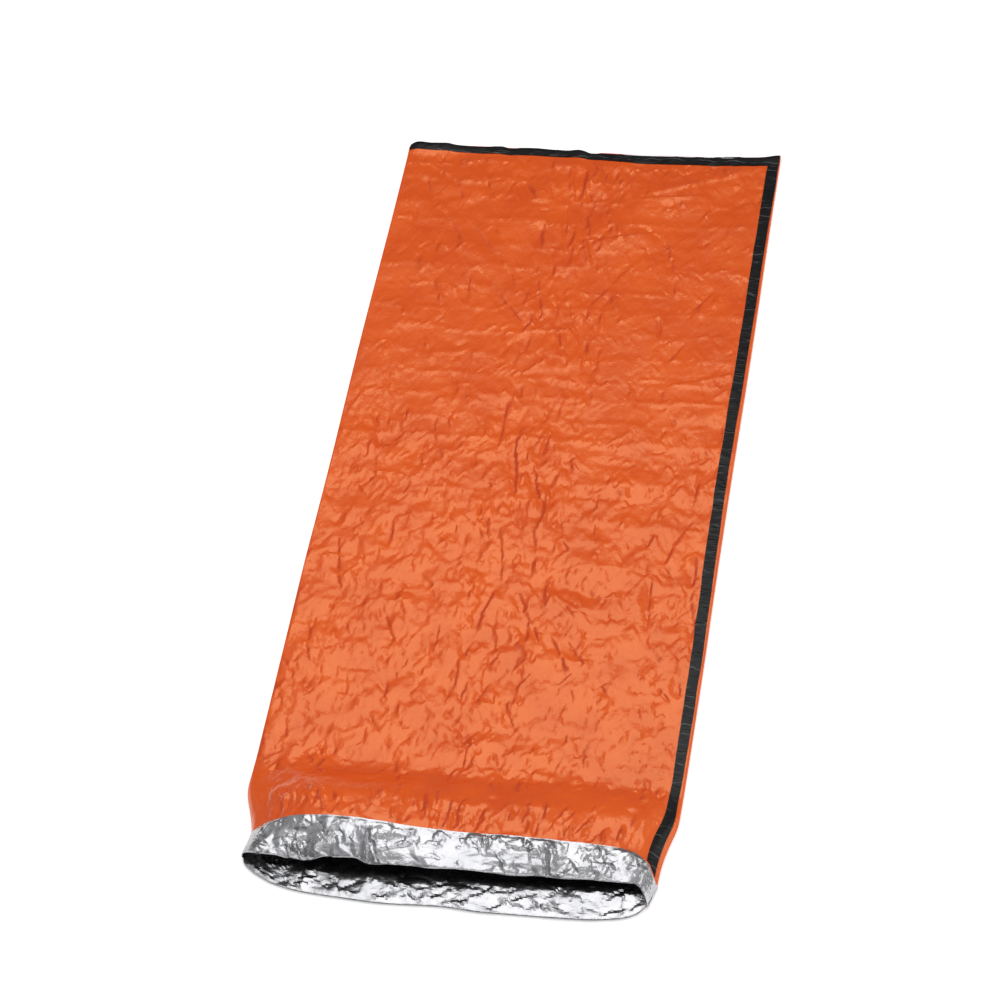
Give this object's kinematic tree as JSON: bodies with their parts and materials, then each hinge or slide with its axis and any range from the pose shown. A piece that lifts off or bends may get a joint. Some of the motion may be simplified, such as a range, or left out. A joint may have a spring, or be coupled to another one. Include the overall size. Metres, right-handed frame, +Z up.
{
  "type": "emergency sleeping bag",
  "caption": "Flat tube bag of thin orange film, silvered inside, laid out at full length; its open end is turned out into a cuff and stands a little open, with tape on one side and the foot.",
  "frame": {"origin": "on the surface that the bag lies on, under the middle of its outline", "axes": "+X across the bag to its taped side, +Y along the bag to its closed foot, +Z up"},
  "size_m": [0.914, 2.134, 0.087],
  "materials": {
    "film": "semi-gloss crumpled film, orange outside and silvered inside",
    "tape": "glossy black plastic tape"
  },
  "bodies": {
    "root": {"film": "film", "side_tape": "tape", "foot_tape": "tape"}
  },
  "joints": []
}
